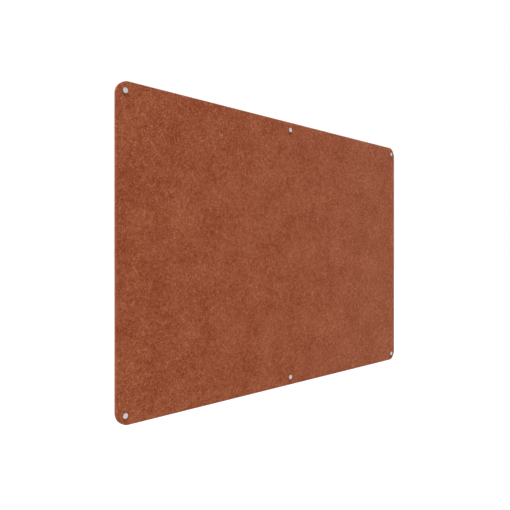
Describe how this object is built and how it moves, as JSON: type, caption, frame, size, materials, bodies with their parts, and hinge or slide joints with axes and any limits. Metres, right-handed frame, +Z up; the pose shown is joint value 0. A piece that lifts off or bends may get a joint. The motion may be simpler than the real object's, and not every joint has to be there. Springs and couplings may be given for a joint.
{
  "type": "pinboard",
  "caption": "Frameless felt pinboard with round corners, held off the wall by turned standoff fixings whose caps unscrew by hand.",
  "frame": {"origin": "on the wall's surface, behind the centre of the board", "axes": "+X along the board's length, to the right as a reader sees it; +Z up; the board faces -Y, and the wall is behind it at +Y"},
  "size_m": [1.8, 0.0683, 1.2],
  "materials": {
    "felt": "matte",
    "satin_aluminium": "satin",
    "clear_nylon": "satin",
    "zinc_plated_steel": "satin",
    "grey_nylon": "matte"
  },
  "bodies": {
    "board": {"felt_panel": "felt", "top_left_rear_washer": "clear_nylon", "top_left_barrel": "satin_aluminium", "top_left_wall_screw": "zinc_plated_steel", "top_left_wall_plug": "grey_nylon", "top_middle_rear_washer": "clear_nylon", "top_middle_barrel": "satin_aluminium", "top_middle_wall_screw": "zinc_plated_steel", "top_middle_wall_plug": "grey_nylon", "top_right_rear_washer": "clear_nylon", "top_right_barrel": "satin_aluminium", "top_right_wall_screw": "zinc_plated_steel", "top_right_wall_plug": "grey_nylon", "bottom_left_rear_washer": "clear_nylon", "bottom_left_barrel": "satin_aluminium", "bottom_left_wall_screw": "zinc_plated_steel", "bottom_left_wall_plug": "grey_nylon", "bottom_middle_rear_washer": "clear_nylon", "bottom_middle_barrel": "satin_aluminium", "bottom_middle_wall_screw": "zinc_plated_steel", "bottom_middle_wall_plug": "grey_nylon", "bottom_right_rear_washer": "clear_nylon", "bottom_right_barrel": "satin_aluminium", "bottom_right_wall_screw": "zinc_plated_steel", "bottom_right_wall_plug": "grey_nylon"},
    "top_left_riding_washer": {"top_left_front_washer": "clear_nylon"},
    "top_left_turning_cap": {"top_left_cap": "satin_aluminium"},
    "top_middle_riding_washer": {"top_middle_front_washer": "clear_nylon"},
    "top_middle_turning_cap": {"top_middle_cap": "satin_aluminium"},
    "top_right_riding_washer": {"top_right_front_washer": "clear_nylon"},
    "top_right_turning_cap": {"top_right_cap": "satin_aluminium"},
    "bottom_left_riding_washer": {"bottom_left_front_washer": "clear_nylon"},
    "bottom_left_turning_cap": {"bottom_left_cap": "satin_aluminium"},
    "bottom_middle_riding_washer": {"bottom_middle_front_washer": "clear_nylon"},
    "bottom_middle_turning_cap": {"bottom_middle_cap": "satin_aluminium"},
    "bottom_right_riding_washer": {"bottom_right_front_washer": "clear_nylon"},
    "bottom_right_turning_cap": {"bottom_right_cap": "satin_aluminium"}
  },
  "joints": [
    {"name": "top_left_cap_travel", "type": "slide", "parent": "board", "child": "top_left_riding_washer", "axis": [0, -1, 0], "range_m": [0, 0.0075]},
    {"name": "top_left_cap_turn", "type": "hinge", "parent": "top_left_riding_washer", "child": "top_left_turning_cap", "pos_m": [-0.865, -0.0349, 0.565], "axis": [0, -1, 0], "range_deg": [0, 1800]},
    {"name": "top_middle_cap_travel", "type": "slide", "parent": "board", "child": "top_middle_riding_washer", "axis": [0, -1, 0], "range_m": [0, 0.0075]},
    {"name": "top_middle_cap_turn", "type": "hinge", "parent": "top_middle_riding_washer", "child": "top_middle_turning_cap", "pos_m": [0, -0.0349, 0.565], "axis": [0, -1, 0], "range_deg": [0, 1800]},
    {"name": "top_right_cap_travel", "type": "slide", "parent": "board", "child": "top_right_riding_washer", "axis": [0, -1, 0], "range_m": [0, 0.0075]},
    {"name": "top_right_cap_turn", "type": "hinge", "parent": "top_right_riding_washer", "child": "top_right_turning_cap", "pos_m": [0.865, -0.0349, 0.565], "axis": [0, -1, 0], "range_deg": [0, 1800]},
    {"name": "bottom_left_cap_travel", "type": "slide", "parent": "board", "child": "bottom_left_riding_washer", "axis": [0, -1, 0], "range_m": [0, 0.0075]},
    {"name": "bottom_left_cap_turn", "type": "hinge", "parent": "bottom_left_riding_washer", "child": "bottom_left_turning_cap", "pos_m": [-0.865, -0.0349, -0.565], "axis": [0, -1, 0], "range_deg": [0, 1800]},
    {"name": "bottom_middle_cap_travel", "type": "slide", "parent": "board", "child": "bottom_middle_riding_washer", "axis": [0, -1, 0], "range_m": [0, 0.0075]},
    {"name": "bottom_middle_cap_turn", "type": "hinge", "parent": "bottom_middle_riding_washer", "child": "bottom_middle_turning_cap", "pos_m": [0, -0.0349, -0.565], "axis": [0, -1, 0], "range_deg": [0, 1800]},
    {"name": "bottom_right_cap_travel", "type": "slide", "parent": "board", "child": "bottom_right_riding_washer", "axis": [0, -1, 0], "range_m": [0, 0.0075]},
    {"name": "bottom_right_cap_turn", "type": "hinge", "parent": "bottom_right_riding_washer", "child": "bottom_right_turning_cap", "pos_m": [0.865, -0.0349, -0.565], "axis": [0, -1, 0], "range_deg": [0, 1800]}
  ],
  "couplings": [
    {"joint": "top_left_cap_travel", "follows": "top_left_cap_turn", "m_per_rad": 0.00023873},
    {"joint": "top_middle_cap_travel", "follows": "top_middle_cap_turn", "m_per_rad": 0.00023873},
    {"joint": "top_right_cap_travel", "follows": "top_right_cap_turn", "m_per_rad": 0.00023873},
    {"joint": "bottom_left_cap_travel", "follows": "bottom_left_cap_turn", "m_per_rad": 0.00023873},
    {"joint": "bottom_middle_cap_travel", "follows": "bottom_middle_cap_turn", "m_per_rad": 0.00023873},
    {"joint": "bottom_right_cap_travel", "follows": "bottom_right_cap_turn", "m_per_rad": 0.00023873}
  ]
}
